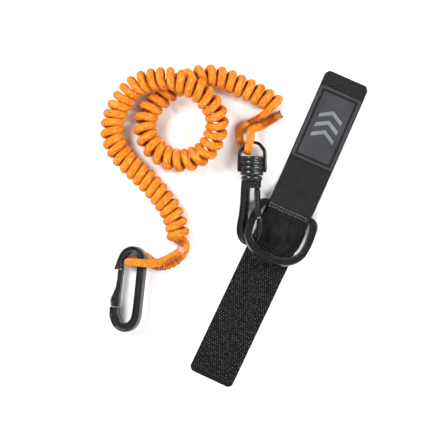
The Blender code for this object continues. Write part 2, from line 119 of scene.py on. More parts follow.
def make_studio():
    make_light("key", (-0.75, 0.55, 1.0), (0.5, 0.5), 21.0)
    make_light("side", (0.85, 0.15, 0.8), (0.16, 0.9), 12.0)
    make_light("front", (0.1, -1.0, 0.9), (0.9, 0.25), 9.0)
    world = bpy.data.worlds.new("studio")
    world.use_nodes = True
    tree = world.node_tree
    background = tree.nodes["Background"]
    background.inputs["Color"].default_value = (1.0, 1.0, 1.0, 1.0)
    # darker straight overhead, as under a studio's black ceiling
    height = tree.nodes.new("ShaderNodeSeparateXYZ")
    tree.links.new(tree.nodes.new("ShaderNodeTexCoord").outputs["Generated"], height.inputs[0])
    fade = tree.nodes.new("ShaderNodeMapRange")
    for socket, value in (("From Min", 0.55), ("From Max", 0.95), ("To Min", 0.55), ("To Max", 0.12)):
        fade.inputs[socket].default_value = value
    tree.links.new(height.outputs[2], fade.inputs["Value"])
    tree.links.new(fade.outputs[0], background.inputs["Strength"])
    bpy.context.scene.world = world
    bpy.context.scene.view_settings.view_transform = "Standard"

    half, drop = 2.0, -0.0003
    mesh = bpy.data.meshes.new("floor")
    mesh.from_pydata([(-half, -half, drop), (half, -half, drop), (half, half, drop), (-half, half, drop)],
                     [], [(0, 1, 2, 3)])
    floor = bpy.data.objects.new("floor", mesh)
    bpy.context.scene.collection.objects.link(floor)
    look = Look("floor_paper", (0.86, 0.86, 0.86), 0.9)
    mesh.materials.append(look.material)


# ---------------------------------------------------------------- materials

class Look:
    """A node material: a Principled shader, and short calls for the nodes that feed it."""

    def __init__(self, name, colour, roughness, **constants):
        self.material = bpy.data.materials.new(name)
        self.material.use_nodes = True
        self.tree = self.material.node_tree
        self.shader = self.tree.nodes["Principled BSDF"]
        self.shader.inputs["Base Color"].default_value = (*colour, 1.0)
        self.shader.inputs["Roughness"].default_value = roughness
        for socket, value in constants.items():
            self.shader.inputs[socket.replace("_", " ")].default_value = value

    def node(self, kind, inputs=None, **settings):
        made = self.tree.nodes.new("ShaderNode" + kind)
        for key, value in settings.items():
            setattr(made, key, value)
        for key, value in (inputs or {}).items():
            if isinstance(value, bpy.types.NodeSocket):
                self.tree.links.new(value, made.inputs[key])
            else:
                made.inputs[key].default_value = value
        return made

    def math(self, operation, a, b=0.0):
        return self.node("Math", {0: a, 1: b}, operation=operation).outputs[0]

    def coordinates(self, kind):
        return self.node("TexCoord").outputs[kind]

    def stretched(self, vector, scale):
        return self.node("Mapping", {"Vector": vector, "Scale": scale}).outputs[0]

    def noise(self, vector, scale, detail=3.0, roughness=0.55):
        made = self.node("TexNoise", {"Vector": vector, "Scale": scale, "Detail": detail,
                                      "Roughness": roughness})
        return made.outputs["Fac"]

    def cells(self, vector, scale):
        return self.node("TexVoronoi", {"Vector": vector, "Scale": scale}).outputs["Distance"]

    def between(self, value, low, high, to_low=0.0, to_high=1.0):
        made = self.node("MapRange", {"Value": value, "From Min": low, "From Max": high,
                                      "To Min": to_low, "To Max": to_high})
        return made.outputs[0]

    def mix(self, share, a, b):
        made = self.node("Mix", data_type="RGBA")
        for index, value in ((0, share), (6, a), (7, b)):
            if isinstance(value, bpy.types.NodeSocket):
                self.tree.links.new(value, made.inputs[index])
            else:
                made.inputs[index].default_value = value if index == 0 else (*value, 1.0)
        return made.outputs[2]

    def colour(self, socket):
        self.tree.links.new(socket, self.shader.inputs["Base Color"])

    def roughness(self, socket):
        self.tree.links.new(socket, self.shader.inputs["Roughness"])

    def bump(self, height, distance, strength=1.0):
        """Adds a bump on top of those made before it; distance is in metres."""
        made = self.node("Bump", {"Height": height, "Distance": distance, "Strength": strength})
        target = self.shader.inputs["Normal"]
        if target.is_linked:
            self.tree.links.new(target.links[0].from_socket, made.inputs["Normal"])
        self.tree.links.new(made.outputs[0], target)


def braid_look():
    """Braided orange cover: two sets of plaits that cross, one over and one under."""
    look = Look("orange_braid", (0.8, 0.27, 0.03), 0.75, Sheen_Weight=0.06, Sheen_Roughness=0.4,
                Sheen_Tint=(1.0, 0.6, 0.25, 1.0), Specular_IOR_Level=0.12)
    place = look.node("SeparateXYZ", {0: look.coordinates("UV")})
    round_it = look.math("MULTIPLY", place.outputs[0], 12.0)      # plaits each way round the cord
    along = look.math("MULTIPLY", place.outputs[1], 1 / 2.4)       # a plait's pitch, mm
    left, right = look.math("ADD", round_it, along), look.math("SUBTRACT", round_it, along)
    turn = look.math("MODULO", look.math("ADD", look.math("FLOOR", left), look.math("FLOOR", right)), 2.0)
    over = look.math("ABSOLUTE", turn)
    humps = [look.math("SINE", look.math("MULTIPLY", look.math("FRACT", side), math.pi))
             for side in (left, right)]
    first = look.math("MULTIPLY", humps[0], over)
    second = look.math("MULTIPLY", humps[1], look.math("SUBTRACT", 1.0, over))
    height = look.math("ADD", first, second)
    space = look.coordinates("Object")
    patches = look.noise(space, 90.0, 2.0)
    turn_angle = look.math("MULTIPLY", place.outputs[0], 2 * math.pi)
    spot = look.node("CombineXYZ", {0: look.math("MULTIPLY", look.math("COSINE", turn_angle), 2.6),
                                    1: look.math("MULTIPLY", look.math("SINE", turn_angle), 2.6),
                                    2: look.math("MULTIPLY", place.outputs[1], 0.24)}).outputs[0]
    streaks = look.noise(spot, 1.25, 3.0, 0.6)
    # light and dark are lit and shaded copies of the orange; each also varies at random in patches
    light = look.mix(look.between(patches, 0.35, 0.65), (0.82, 0.225, 0.012), (0.88, 0.28, 0.022))
    dark = look.mix(look.between(patches, 0.35, 0.65), (0.28, 0.030, 0.002), (0.40, 0.058, 0.004))
    # colour follows the plaits' height: painted shade in the crevices between plaits, painted light on their
    # crowns
    shade = look.math("ADD", look.math("MULTIPLY", height, 0.55), look.between(streaks, 0.3, 0.7, 0.0, 0.6))
    body = look.mix(look.between(shade, 0.15, 0.8), dark, light)
    # pale orange streaks painted on as highlights
    look.colour(look.mix(look.between(streaks, 0.52, 0.68, 0.0, 0.8), body, (1.0, 0.45, 0.085)))
    look.bump(height, 0.00045, 0.9)
    look.bump(streaks, 0.0003, 0.6)
    return look.material


def plastic_look():
    """Satin black moulded plastic: slight flow mottling, fine grain, paler rubbed edges."""
    look = Look("black_moulding", (0.006, 0.006, 0.007), 0.3, Specular_IOR_Level=0.25,
                Coat_Weight=0.3, Coat_Roughness=0.1)
    space = look.coordinates("Object")
    mottle = look.noise(space, 140.0, 4.0)
    grain = look.noise(space, 2600.0, 2.0)
    edge = look.between(look.node("NewGeometry").outputs["Pointiness"], 0.52, 0.60)
    rubbed = look.math("MULTIPLY", edge, look.between(look.noise(space, 420.0, 3.0), 0.3, 0.7, 0.25, 1.0))
    plain = look.mix(mottle, (0.004, 0.004, 0.005), (0.009, 0.009, 0.0095))
    look.colour(look.mix(rubbed, plain, (0.05, 0.05, 0.052)))
    look.roughness(look.between(look.math("ADD", mottle, look.math("MULTIPLY", grain, 0.5)),
                                0.4, 1.1, 0.20, 0.34))
    look.bump(grain, 0.00003, 0.5)
    look.bump(mottle, 0.00012, 0.35)
    return look.material


def steel_look(name, low, high):
    look = Look(name, high, 0.3, Metallic=1.0)
    space = look.coordinates("Object")
    drawn = look.noise(look.stretched(space, (400.0, 400.0, 4000.0)), 1.0, 3.0)
    look.colour(look.mix(drawn, low, high))
    look.roughness(look.between(drawn, 0.3, 0.7, 0.22, 0.42))
    look.bump(drawn, 0.00002, 0.4)
    return look.material


def loop_look():
    """Soft side of the tape: a mat of fine brushed loops."""
    look = Look("brushed_loops", (0.03, 0.03, 0.028), 0.92, Sheen_Weight=0.08, Sheen_Roughness=0.5,
                Sheen_Tint=(0.75, 0.75, 0.72, 1.0), Specular_IOR_Level=0.08)
    flat = look.coordinates("UV")
    loops = look.cells(flat, 1.9)
    fluff = look.noise(flat, 2.6, 5.0, 0.7)
    rub = look.noise(flat, 0.12, 3.0)
    clumps = look.noise(flat, 0.85, 3.0, 0.6)
    # colour follows the loops' height: the loop tops are painted lighter as lit, the depths between them dark
    # as painted shade
    lit_loop_tops = look.between(look.math("MULTIPLY", fluff, look.between(loops, 0.0, 0.6, 1.25, 0.7)), 0.42, 0.72)
    lit_loop_tops = look.math("MULTIPLY", look.math("ADD", lit_loop_tops, 0.25), look.between(clumps, 0.36, 0.64, 0.15, 1.5))
    pile_depth_shade = look.mix(look.between(rub, 0.3, 0.7), (0.004, 0.004, 0.0038), (0.008, 0.008, 0.0077))
    look.colour(look.mix(lit_loop_tops, pile_depth_shade, (0.044, 0.044, 0.0425)))
    look.bump(loops, 0.00030, 0.7)
    look.bump(fluff, 0.00035, 0.9)
    look.bump(clumps, 0.0004, 0.7)
    return look.material


def velvet_look():
    """Dense dark pile that catches light at a grazing angle, brushed in patches."""
    look = Look("dark_pile", (0.012, 0.012, 0.012), 0.85, Sheen_Weight=0.16, Sheen_Roughness=0.35,
                Sheen_Tint=(0.6, 0.6, 0.6, 1.0), Specular_IOR_Level=0.12)
    flat = look.coordinates("UV")
    brushed = look.noise(look.stretched(flat, (0.16, 0.11, 1.0)), 1.0, 4.0, 0.6)
    fine = look.noise(flat, 4.5, 4.0, 0.7)
    look.colour(look.mix(look.between(brushed, 0.35, 0.7), (0.004, 0.004, 0.004), (0.015, 0.015, 0.015)))
    look.bump(fine, 0.00022, 0.8)
    look.bump(brushed, 0.0009, 0.35)
    return look.material


def woven_look(name, warp, colour_low, colour_high):
    """Plain woven nylon: ribs along the tape crossed by finer weft."""
    look = Look(name, colour_high, 0.8, Sheen_Weight=0.04, Specular_IOR_Level=0.15)
    place = look.node("SeparateXYZ", {0: look.coordinates("UV")})
    across = look.math("SINE", look.math("MULTIPLY", place.outputs[0], 2 * math.pi / warp))
    along = look.math("SINE", look.math("MULTIPLY", place.outputs[1], 2 * math.pi / (0.7 * warp)))
    weave = look.math("MULTIPLY", across, along)
    lint = look.noise(look.coordinates("UV"), 0.9, 3.0, 0.65)
    # colour follows the weave's height: painted shade in the hollows between the threads, lighter on their
    # crowns
    shade = look.math("ADD", look.between(weave, -1.0, 1.0, 0.0, 0.7), look.math("MULTIPLY", lint, 0.4))
    look.colour(look.mix(look.between(shade, 0.1, 1.0), colour_low, colour_high))
    look.bump(weave, 0.00022, 0.7)
    look.bump(lint, 0.00012, 0.5)
    return look.material


def hook_look():
    """Clear black monofilament of the tiny hooks, a little duller where it is scuffed."""
    look = Look("hook_monofilament", (0.03, 0.03, 0.03), 0.34, Specular_IOR_Level=0.35)
    space = look.coordinates("Object")
    tone = look.noise(space, 260.0, 3.0)
    speck = look.noise(space, 1500.0, 2.0)
    clumps = look.noise(space, 480.0, 2.0)
    dark = look.mix(look.between(tone, 0.35, 0.65), (0.004, 0.004, 0.004), (0.010, 0.010, 0.010))
    # pale specks painted on as glints off the hook tips
    look.colour(look.mix(look.between(clumps, 0.42, 0.60), dark, (0.15, 0.15, 0.147)))
    look.roughness(look.between(tone, 0.3, 0.7, 0.28, 0.5))
    look.bump(speck, 0.00003, 0.4)
    return look.material


def rubber_look(name, low, high, roughness):
    """Moulded rubber with a fine leathery grain and a dusting of wear."""
    look = Look(name, high, roughness, Specular_IOR_Level=0.25)
    space = look.coordinates("Object")
    grain = look.noise(space, 1100.0, 5.0, 0.6)
    cloud = look.noise(space, 70.0, 3.0)
    dust = look.between(look.noise(space, 380.0, 5.0, 0.7), 0.56, 0.75, 0.0, 0.35)
    body = look.mix(look.between(cloud, 0.3, 0.7), low, high)
    look.colour(look.mix(dust, body, tuple(1.5 * c for c in high)))
    look.roughness(look.between(grain, 0.3, 0.7, roughness - 0.08, roughness + 0.1))
    look.bump(grain, 0.00009, 0.6)
    return look.material


def thread_look(name, low, high):
    """Twisted sewing thread."""
    look = Look(name, high, 0.6, Sheen_Weight=0.04, Specular_IOR_Level=0.2)
    place = look.node("SeparateXYZ", {0: look.coordinates("UV")})
    twist = look.math("SINE", look.math("ADD", look.math("MULTIPLY", place.outputs[0], 4 * math.pi),
                                        look.math("MULTIPLY", place.outputs[1], 9.0)))
    tone = look.noise(look.coordinates("Object"), 300.0, 3.0)
    # colour follows the twist: painted shade in the grooves between the plies, lighter on their crowns
    shade = look.math("ADD", look.between(twist, -1.0, 1.0, 0.0, 0.5), look.math("MULTIPLY", tone, 0.5))
    look.colour(look.mix(shade, low, high))
    look.bump(twist, 0.00006, 0.8)
    return look.material


def latex_look():
    """The cut end of the elastic core: a bundle of pale rubber strands."""
    look = Look("latex_core", (0.80, 0.52, 0.42), 0.55, Specular_IOR_Level=0.4)
    space = look.coordinates("Object")
    strands = look.cells(space, 1100.0)
    tone = look.noise(space, 350.0, 3.0)
    pale = look.mix(tone, (0.92, 0.66, 0.52), (0.78, 0.42, 0.30))
    # darker red-brown painted between the strands as shade in the gaps
    look.colour(look.mix(look.between(strands, 0.25, 0.6), pale, (0.45, 0.15, 0.07)))
    look.bump(strands, 0.0003, 0.8)
    return look.material


# ---------------------------------------------------------------- mesh tools

def smooth_path(points, per_span, closed=False):
    """Points along a Catmull-Rom curve through the given ones."""
    pts = [np.array(p, float) for p in points]
    count = len(pts)
    path = []
    for i in range(count if closed else count - 1):
        if closed:
            p0, p1, p2, p3 = (pts[(i + k) % count] for k in (-1, 0, 1, 2))
        else:
            p1, p2 = pts[i], pts[i + 1]
            p0 = pts[i - 1] if i else p1 * 2 - p2
            p3 = pts[i + 2] if i + 2 < count else p2 * 2 - p1
        for k in range(per_span):
            t = k / per_span
            path.append(0.5 * (2 * p1 + (p2 - p0) * t + (2 * p0 - 5 * p1 + 4 * p2 - p3) * t * t
                               + (3 * p1 - p0 - 3 * p2 + p3) * t ** 3))
    if not closed:
        path.append(pts[-1])
    return np.array(path)


def lengths(path):
    """How far along the path each of its points is."""
    return np.concatenate([[0.0], np.cumsum(np.linalg.norm(np.diff(path, axis=0), axis=1))])


def even_path(path, step):
    """The same line with points a step apart."""
    along = lengths(path)
    at = np.linspace(0, along[-1], max(3, int(along[-1] / step) + 1))
    return np.stack([np.interp(at, along, path[:, k]) for k in range(path.shape[1])], axis=1)


def between(values, t):
    """The value at fraction t along an evenly spaced list."""
    return float(np.interp(t * (len(values) - 1), range(len(values)), values))


def clamped(value):
    return min(1.0, max(0.0, value))


def eased(value):
    """0 to 1 with a soft start and end, as value goes from 0 to 1."""
    share = clamped(value)
    return share * share * (3 - 2 * share)


def filleted(corners, steps=4):
    """A closed outline whose corners (x, y, radius) are rounded."""
    outline = []
    for i, (x, y, radius) in enumerate(corners):
        p = Vector((x, y))
        back = Vector(corners[i - 1][:2]) - p
        ahead = Vector(corners[(i + 1) % len(corners)][:2]) - p
        cut = min(radius, 0.48 * back.length, 0.48 * ahead.length)
        start, end = p + back.normalized() * cut, p + ahead.normalized() * cut
        for k in range(steps + 1):
            t = k / steps
            outline.append(start * (1 - t) ** 2 + 2 * p * t * (1 - t) + end * t * t)
    return np.array(outline)


def skin(rings, closed=False, around=None):
    """Points, faces and corner places (around, along, in mm) of a skin over equal rings."""
    rings = np.asarray(rings, float)
    count, sides = rings.shape[:2]
    if around is None:
        around = float(np.linalg.norm(rings[0] - np.roll(rings[0], 1, axis=0), axis=1).sum())
    middles = rings.mean(axis=1)
    along = lengths(np.vstack([middles, middles[:1]]) if closed else middles)
    faces, places = [], []
    for i in range(count if closed else count - 1):
        j = (i + 1) % count
        for k in range(sides):
            n = (k + 1) % sides
            faces.append((i * sides + k, i * sides + n, j * sides + n, j * sides + k))
            u0, u1 = around * k / sides, around * (k + 1) / sides
            places += [(u0, along[i]), (u1, along[i]), (u1, along[i + 1]), (u0, along[i + 1])]
    if not closed:
        for i, order in ((0, range(sides)), (count - 1, range(sides - 1, -1, -1))):
            faces.append(tuple(i * sides + k for k in order))
            places += [(around * k / sides, along[i]) for k in order]
    return rings.reshape(-1, 3), faces, places


def joined(skins):
    """Several skins as one."""
    points, faces, places, start = [], [], [], 0
    for p, f, c in skins:
        points.append(p)
        faces += [tuple(i + start for i in face) for face in f]
        places += c
        start += len(p)
    return np.vstack(points), faces, places


def tube_rings(path, radius, sides):
    """Round rings along a path, each turned as little as possible from the one before."""
    path = np.asarray(path, float)
    radii = np.broadcast_to(radius, len(path))
    tangents = np.gradient(path, axis=0)
    tangents /= np.linalg.norm(tangents, axis=1)[:, None]
    normal = np.cross(tangents[0], (0.31, 0.17, 0.93))
    angles = 2 * np.pi * np.arange(sides) / sides
    rings = []
    for p, t, r in zip(path, tangents, radii):
        normal = normal - t * (normal @ t)
        normal = normal / np.linalg.norm(normal)
        side = np.cross(t, normal)
        rings.append(p + r * (np.cos(angles)[:, None] * normal + np.sin(angles)[:, None] * side))
    return rings


def flat_sweep(path, section, closed=False):
    """Rings of section(t) -> [(across, up), ...] along a path in the local XY plane."""
    rings, count = [], len(path)
    for i, p in enumerate(path):
        before = path[i - 1] if closed or i else p
        after = path[(i + 1) % count] if closed or i + 1 < count else p
        tangent = (after - before) / np.linalg.norm(after - before)
        across = np.array((-tangent[1], tangent[0], 0.0))
        rings.append([p + across * a + np.array((0, 0, b)) for a, b in section(i / count)])
    return rings


def add_mesh(name, shape, look, matrix=None, smooth_angle=38.0):
    """Link a skin as an object in metres; matrix takes its millimetres to the row frame."""
    points, faces, places = shape
    mesh = bpy.data.meshes.new(name)
    mesh.from_pydata([Vector(p) for p in points], [], faces)
    layer = mesh.uv_layers.new(name="UVMap")
    layer.data.foreach_set("uv", np.array(places, np.float32).ravel())
    mesh.transform(Matrix.Scale(MM, 4) @ (matrix or Matrix.Identity(4)))
    bm = bmesh.new()
    bm.from_mesh(mesh)
    bmesh.ops.recalc_face_normals(bm, faces=bm.faces)
    bm.to_mesh(mesh)
    bm.free()
    mesh.shade_smooth()
    mesh.set_sharp_from_angle(angle=math.radians(smooth_angle))
    mesh.materials.append(look)
    obj = bpy.data.objects.new(name, mesh)
    bpy.context.scene.collection.objects.link(obj)
    return obj


def combine(obj, shape, matrix, operation, smooth_angle=38.0):
    """Cut or join obj with a skin of the same material, and leave one plain mesh."""
    tool = add_mesh("tool", shape, obj.data.materials[0], matrix)
    modifier = obj.modifiers.new("combine", "BOOLEAN")
    modifier.operation = operation
    modifier.solver = "EXACT"
    modifier.object = tool
    result = bpy.data.meshes.new_from_object(obj.evaluated_get(bpy.context.evaluated_depsgraph_get()))
    obj.modifiers.clear()
    obj.data = result
    result.shade_smooth()
    result.set_sharp_from_angle(angle=math.radians(smooth_angle))
    bpy.data.objects.remove(tool, do_unlink=True)
    return obj


def rounded_section(half_across, half_up, power, sides):
    """A superellipse: power 2 is an ellipse, 5 a rectangle with round corners."""
    angles = 2 * np.pi * (np.arange(sides) + 0.5) / sides
    c, s = np.cos(angles), np.sin(angles)
    return np.stack([half_across * np.sign(c) * np.abs(c) ** (2 / power),
                     half_up * np.sign(s) * np.abs(s) ** (2 / power)], axis=1)


def railed_section(half_across, half_up, depth, rail, corner=1.15):
    """A moulded limb: two round-edged rails with a channel between them, on both faces."""
    a, b = half_across, half_up
    c = max(0.35, a - rail)
    top = [(a, b, corner), (c + 0.3, b, 0.4), (c, b - depth, 0.3), (-c, b - depth, 0.3), (-c - 0.3, b, 0.4),
           (-a, b, corner)]
    return filleted(top + [(-x, -y, r) for x, y, r in top])


def turned(profile, sides):
    """Rings of (radius, y) points turned about the local Y axis."""
    angles = 2 * np.pi * np.arange(sides) / sides
    return [np.stack([r * np.cos(angles), np.full(sides, y), r * np.sin(angles)], axis=1) for r, y in profile]


def round_bar(radius, low, high, middle, sides=40):
    """A round bar along local z."""
    angles = 2 * np.pi * np.arange(sides) / sides
    return skin([np.stack([middle[0] + radius * np.cos(angles), middle[1] + radius * np.sin(angles),
                           np.full(sides, z)], axis=1) for z in (low, high)])


def block(low, high):
    (x0, y0, z0), (x1, y1, z1) = low, high
    return skin([[(x0, y0, z), (x1, y0, z), (x1, y1, z), (x0, y1, z)] for z in (z0, z1)])


# ---------------------------------------------------------------- cord

CORD_RADIUS = 3.1
COIL_MEAN_RADIUS = 6.15
PLAITS_ROUND = 1.0              # the cover's pattern counts once round the cord

# Middle line of the coil, from the strap's end to the clip's end, plan millimetres
COIL_ROUTE = [
    (46.4, 85.6, 9.4), (34.1, 93.1, 9.4), (21.0, 99.3, 9.4), (7.0, 105.5, 9.4), (-8.5, 107.9, 9.4),
    (-25.6, 102.4, 9.4), (-40.4, 92.3, 9.4), (-52.0, 79.2, 9.4), (-54.3, 66.0, 9.4),
    (-48.0, 52.6, 9.6), (-35.0, 43.8, 10.4), (-21.0, 42.7, 12.4), (-7.5, 49.3, 16.0),
    (0.4, 63.0, 20.4), (0.8, 77.0, 24.6), (-6.6, 89.6, 27.8), (-17.6, 98.4, 28.6),
    (-32.0, 104.4, 26.6), (-47.0, 104.4, 21.8), (-60.6, 100.2, 16.0), (-71.6, 88.8, 11.6),
    (-78.4, 75.3, 9.6), (-79.6, 61.0, 9.4), (-73.6, 47.6, 9.4), (-63.0, 36.6, 9.4),
    (-51.0, 24.8, 9.4), (-40.6, 12.6, 9.4), (-33.2, 1.0, 9.4), (-29.6, -9.6, 9.4), (-28.4, -18.6, 9.4),
]
# Spacing of the turns at even steps along the route
PITCH = [7.5, 7.6, 7.9, 7.9, 7.9, 7.8, 7.8, 7.6, 7.3, 7.0, 6.9, 6.9, 7.0]
START_ANGLE, END_ANGLE = -15.0, 200.0
END_TILT, END_TILT_TURNS = -28.0, 7.0     # the first turns lean over towards the sewn lap

UPPER_EYE = [(32.6, 74.5, 3.8), (27.4, 71.4, 4.6), (22.2, 68.6, 5.2), (19.0, 65.4, 5.2), (18.9, 62.2, 5.2),
             (18.9, 60.2, 5.0), (20.4, 55.4, 3.6), (23.4, 51.2, 3.8), (25.5, 49.6, 9.0), (25.7, 50.8, 13.8),
             (26.4, 55.0, 15.4), (27.6, 59.4, 14.2), (27.7, 62.0, 14.0), (27.8, 65.3, 13.6),
             (31.2, 67.3, 8.4), (36.2, 69.2, 4.4), (42.8, 73.0, 3.5), (50.6, 78.0, 3.5)]
UPPER_LEAD = [(32.6, 74.5, 3.8), (35.8, 76.5, 4.2), (38.8, 78.8, 7.0), (42.0, 81.8, 11.8)]
LOWER_EYE = [(-23.2, -21.9, 3.8), (-22.9, -25.2, 3.5), (-24.4, -29.6, 3.4), (-27.6, -33.6, 3.4),
             (-34.6, -38.0, 3.3), (-42.4, -39.8, 3.3), (-48.4, -37.8, 3.3), (-51.6, -33.4, 3.3),
             (-55.8, -32.0, 3.3), (-61.0, -35.2, 3.3), (-65.4, -36.4, 5.2), (-67.4, -36.4, 11.6),
             (-65.2, -36.4, 17.4), (-60.4, -36.8, 20.0), (-54.6, -37.2, 19.8), (-48.6, -37.6, 15.8),
             (-43.6, -36.8, 10.6), (-36.8, -34.0, 9.0), (-31.2, -30.8, 9.2), (-27.8, -28.4, 10.3),
             (-26.2, -27.2, 12.0)]


def coil_path(points_per_turn=26):
    """The curly cord's own middle line: a right-handed helix about the route."""
    centre = even_path(smooth_path(COIL_ROUTE, 12), 0.5)
    along = lengths(centre)
    share = along / along[-1]
    pitch = np.interp(share * (len(PITCH) - 1), range(len(PITCH)), PITCH)
    angle = np.concatenate([[0.0], np.cumsum(np.diff(along) / pitch[1:])]) * 2 * np.pi
    extra = math.radians(END_ANGLE - START_ANGLE)
    turns = round((angle[-1] - extra) / (2 * np.pi))
    angle *= (turns * 2 * np.pi + extra) / angle[-1]

    at = np.linspace(0, angle[-1], int(angle[-1] / (2 * np.pi) * points_per_turn))
    s = np.interp(at, angle, along)
    spot = np.stack([np.interp(s, along, centre[:, k]) for k in range(3)], axis=1)
    slope = np.gradient(centre, axis=0)
    tangent = np.stack([np.interp(s, along, slope[:, k]) for k in range(3)], axis=1)
    tangent /= np.linalg.norm(tangent, axis=1)[:, None]
    up = np.array((0, 0, 1.0)) - tangent * tangent[:, 2:3]
    up /= np.linalg.norm(up, axis=1)[:, None]
    across = np.cross(tangent, up)
    turn = at / (2 * np.pi)
    tilt = np.radians(END_TILT * np.clip(1 - turn / END_TILT_TURNS, 0, 1) ** 1.3
                      + 2.2 * np.sin(turn * 1.7) + 1.6 * np.sin(turn * 0.61 + 1.0))
    across = across * np.cos(tilt)[:, None] + tangent * np.sin(tilt)[:, None]
    radius = COIL_MEAN_RADIUS - 0.08 + 0.08 * np.sin(turn * 2.9) * np.sin(turn * 0.37)
    theta = at + math.radians(START_ANGLE)
    return spot + radius[:, None] * (np.cos(theta)[:, None] * up + np.sin(theta)[:, None] * across)


def rounded_end(path, radius, length=1.1):
    """Radii along a path, drawn in a little over its last length."""
    left = lengths(path)[-1] - lengths(path)
    return radius * np.sqrt(np.clip(1 - 0.35 * np.clip(1 - left / length, 0, 1) ** 2, 0, 1))


def plan_to_row(points):
    return np.array([plan(*p) for p in points])


def build_cord(looks):
    helix = coil_path()
    lead = smooth_path(UPPER_LEAD + [helix[0], helix[3]], 8)[:-9]
    tail = smooth_path([helix[-4], helix[-1]] + LOWER_EYE, 8)[9:]
    main = plan_to_row(np.vstack([lead, helix, tail]))
    main_radius = rounded_end(main, CORD_RADIUS)
    rings = tube_rings(main, main_radius, 18)
    cord = add_mesh("elastic_cord", skin(rings, around=PLAITS_ROUND), looks["braid"])
    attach(cord, "leash")
    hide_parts("cord_coil", "cord_upper_lap", "cord_lower_eye")

    eye_path = plan_to_row(even_path(smooth_path(UPPER_EYE, 14), 0.5))
    rings = tube_rings(eye_path, rounded_end(eye_path, CORD_RADIUS), 18)
    eye = add_mesh("sewn_eye", skin(rings, around=PLAITS_ROUND), looks["braid"])
    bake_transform(eye)
    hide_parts("cord_upper_eye", "cord_upper_tail")

    pieces = [cord_end("cut_end_clip", main, looks["latex"], 1.0),
              cord_end("cut_end_strap", eye_path, looks["latex"], 0.35)]
    frayed = frayed_cover("frayed_cover", eye_path, looks["fray"])
    upper = lap_stitches("lap_stitches_strap", UPPER_EYE[13:], UPPER_EYE[3::-1] + UPPER_LEAD[1:], 1.5,
                         looks["lap_thread"])
    lower = lap_stitches("lap_stitches_clip", LOWER_EYE[15:-1], LOWER_EYE[1:8], 2.6, looks["lap_thread"])
    for piece in (*pieces, frayed, upper, lower):
        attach(piece, "leash")

    lengths(main)[-1] * MM
    lengths(eye_path)[-1] * MM


def end_and_direction(path):
    direction = path[-1] - path[-3]
    return path[-1], direction / np.linalg.norm(direction)


def cord_end(name, path, look, proud):
    """The elastic core's cut face, standing a little proud of the cover."""
    end, direction = end_and_direction(path)
    reach = [(-1.0, 2.3), (0.2, 2.75), (0.6 * proud + 0.1, 2.7), (1.2 * proud + 0.2, 2.3),
             (1.5 * proud + 0.3, 1.5), (1.6 * proud + 0.35, 0.5)]
    line = np.array([end + direction * d for d, _ in reach])
    return add_mesh(name, skin(tube_rings(line, np.array([r for _, r in reach]), 20)), look)


def frayed_cover(name, path, look):
    """Loose scorched filaments of the cover round the cut end."""
    rng = random.Random(7)
    filaments, lowest = 34, 0.6
    end, direction = end_and_direction(path)
    side = np.cross(direction, (0, 0, 1.0))
    up = np.cross(side, direction)
    skins = []
    for k in range(filaments):
        angle = 2 * math.pi * (k + rng.random()) / filaments
        out = math.cos(angle) * side + math.sin(angle) * up
        base = end - direction * 0.6 + out * 2.75
        if base[2] < lowest:
            continue
        long = rng.uniform(0.9, 2.6)
        bend = rng.uniform(-0.5, 1.0)
        line = np.array([base, base + direction * long * 0.6 + out * 0.15,
                         base + direction * long + out * bend * 0.7 + up * rng.uniform(-0.2, 0.5)])
        line[:, 2] = np.maximum(line[:, 2], 0.3)
        fine = smooth_path(line, 3)
        skins.append(skin(tube_rings(fine, np.linspace(0.2, 0.09, len(fine)), 5)))
    return add_mesh(name, joined(skins), look)


def over_two(first, second, lift, angles_first, angles_second):
    """Thread points over one strand, down into the valley and over the next."""
    across = second - first
    across = across / np.linalg.norm(across)
    up = np.array((0, 0, 1.0)) - across * across[2]
    up = up / np.linalg.norm(up)

    def over(middle, degrees):
        angle = math.radians(degrees)
        return middle + (CORD_RADIUS + lift) * (math.sin(angle) * across + math.cos(angle) * up)

    return [over(first, a) for a in angles_first] + [over(second, a) for a in angles_second]


def nearest(path, point):
    return path[int(np.argmin(np.linalg.norm(path - point, axis=1)))]


def zigzag(first_path, second_path, count, seed, wide=True):
    """One thread that crosses two strands again and again, as a bar tack does."""
    rng = random.Random(seed)
    steps = np.linspace(0, 1, count)
    line = []
    for k, t in enumerate(steps):
        p = np.array([np.interp(t, np.linspace(0, 1, len(first_path)), first_path[:, i]) for i in range(3)])
        q = nearest(second_path, p)
        span = rng.uniform(18, 42) if wide else rng.uniform(45, 62)
        points = over_two(p, q, 0.12, (-span * 0.6, 5, 38, 64), (-64, -38, -5, span * 0.6))
        line += points if k % 2 == 0 else points[::-1]
    return even_path(smooth_path(line, 3), 0.45)


def lap_stitches(name, first, second, spacing, look):
    """Bar tack over the two strands of a sewn lap: spread threads, and a dense line in the valley."""
    first, second = (plan_to_row(even_path(smooth_path(points, 10), 0.4)) for points in (first, second))
    first = first[7:len(first) - 6]
    long = lengths(first)[-1]
    spread = zigzag(first, second, int(long / spacing), 11)
    dense = zigzag(first[4:-4], second, int(long / (0.57 * spacing)), 12, wide=False)
    skins = [skin(tube_rings(spread, 0.2, 6)), skin(tube_rings(dense, 0.24, 6))]
    return add_mesh(name, joined(skins), look)


# ---------------------------------------------------------------- moulded pieces

PIN_BORE = 1.25


def with_bore(obj, pivot, matrix):
    """The piece with the bore of its gate's pin."""
    return combine(obj, round_bar(PIN_BORE, -20, 20, pivot, 32), matrix, "DIFFERENCE")


def build_gate(name, node, body, matrix, pivot, points, widths, thicks, knuckle, look):
    """A gate with a knuckle round its pin; its arm follows the points."""
    path = smooth_path(points, 9)

    def section(t):
        return railed_section(between(widths, t) / 2, between(thicks, t) / 2, 0.45, 1.05)

    gate = add_mesh(name, skin(flat_sweep(path, section)), look, matrix)
    gate = combine(gate, round_bar(knuckle, -0.9, 0.9, pivot), matrix, "UNION")
    gate = with_bore(gate, pivot, matrix)
    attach(gate, body)
    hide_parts(node)
    return gate


